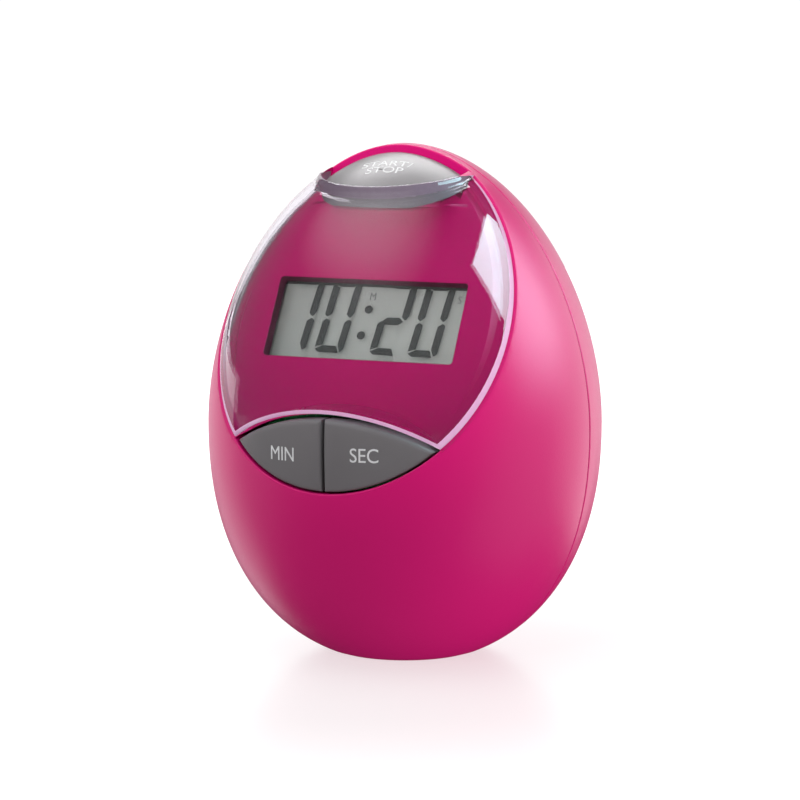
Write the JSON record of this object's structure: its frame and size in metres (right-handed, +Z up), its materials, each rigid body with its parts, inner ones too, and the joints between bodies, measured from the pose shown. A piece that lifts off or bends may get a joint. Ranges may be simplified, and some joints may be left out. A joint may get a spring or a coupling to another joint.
{
  "type": "digital kitchen timer",
  "caption": "Egg-shaped digital kitchen timer: a clear dome over a tilted display, minute and second keys in an eye-shaped opening, a start key on top, a twist-off battery door behind.",
  "frame": {"origin": "middle of the flat base, on the egg's axis, at the level the timer stands on", "axes": "+Z up the egg's axis, -Y out of the display side, +X to the right of someone facing the display"},
  "size_m": [0.06, 0.0598, 0.0774],
  "materials": {
    "pink_plastic": "satin, fine texture",
    "clear_plastic": "clear, polished",
    "grey_plastic": "satin",
    "display_glass": "polished",
    "display_film": "satin grey-green",
    "white_plastic": "matt",
    "rubber": "soft silicone",
    "carbon": "matt",
    "board_green": "lacquered laminate",
    "black_resin": "cast resin",
    "steel": "bright plated",
    "brass": "bright",
    "ceramic": "fired, silvered",
    "red_wire": "plain sleeve",
    "black_wire": "plain sleeve"
  },
  "bodies": {
    "case": {"board_screw_1": "steel", "board_screw_2": "steel", "board_screw_3": "steel", "board_screw_4": "steel", "button_cell": "steel", "capacitor_1": "brass", "capacitor_2": "brass", "case_screw_1": "steel", "case_screw_2": "steel", "case_screw_3": "steel", "cell_wire_minus": "black_wire", "cell_wire_plus": "red_wire", "chip_blob": "black_resin", "contact_strip": "rubber", "crystal": "steel", "display_frame": "white_plastic", "display_front_film": "display_film", "display_front_glass": "display_glass", "display_rear_glass": "display_glass", "display_reflector": "display_film", "dome_lens": "clear_plastic", "front_shell": "pink_plastic", "key_board": "board_green", "key_board_screw_1": "steel", "key_board_screw_2": "steel", "key_ribbon": "white_plastic", "main_board": "board_green", "min_rubber": "rubber", "negative_contact": "steel", "positive_contact": "steel", "rear_shell": "pink_plastic", "resistor": "black_resin", "sec_rubber": "rubber", "sounder_ceramic": "ceramic", "sounder_disc": "brass", "sounder_wire_1": "red_wire", "sounder_wire_2": "black_wire", "start_board": "board_green", "start_rubber": "rubber", "start_wire_1": "red_wire", "start_wire_2": "black_wire"},
    "start_button": {"start_key": "grey_plastic", "start_pill": "carbon"},
    "min_button": {"min_key": "grey_plastic", "min_pill": "carbon"},
    "sec_button": {"sec_key": "grey_plastic", "sec_pill": "carbon"},
    "door": {"battery_door": "pink_plastic"}
  },
  "joints": [
    {"name": "start_press", "type": "slide", "parent": "case", "child": "start_button", "axis": [0, 0, -1], "range_m": [0, 0.0008], "stiffness_N_per_m": 400, "deforming": ["start_rubber"]},
    {"name": "min_press", "type": "slide", "parent": "case", "child": "min_button", "axis": [0, 1, 0], "range_m": [0, 0.0008], "stiffness_N_per_m": 400, "deforming": ["min_rubber"]},
    {"name": "sec_press", "type": "slide", "parent": "case", "child": "sec_button", "axis": [0, 1, 0], "range_m": [0, 0.0008], "stiffness_N_per_m": 400, "deforming": ["sec_rubber"]},
    {"name": "door_twist", "type": "hinge", "parent": "case", "child": "door", "pos_m": [0, 0.0268, 0.03], "axis": [0, 1, 0], "range_deg": [0, 50]}
  ]
}
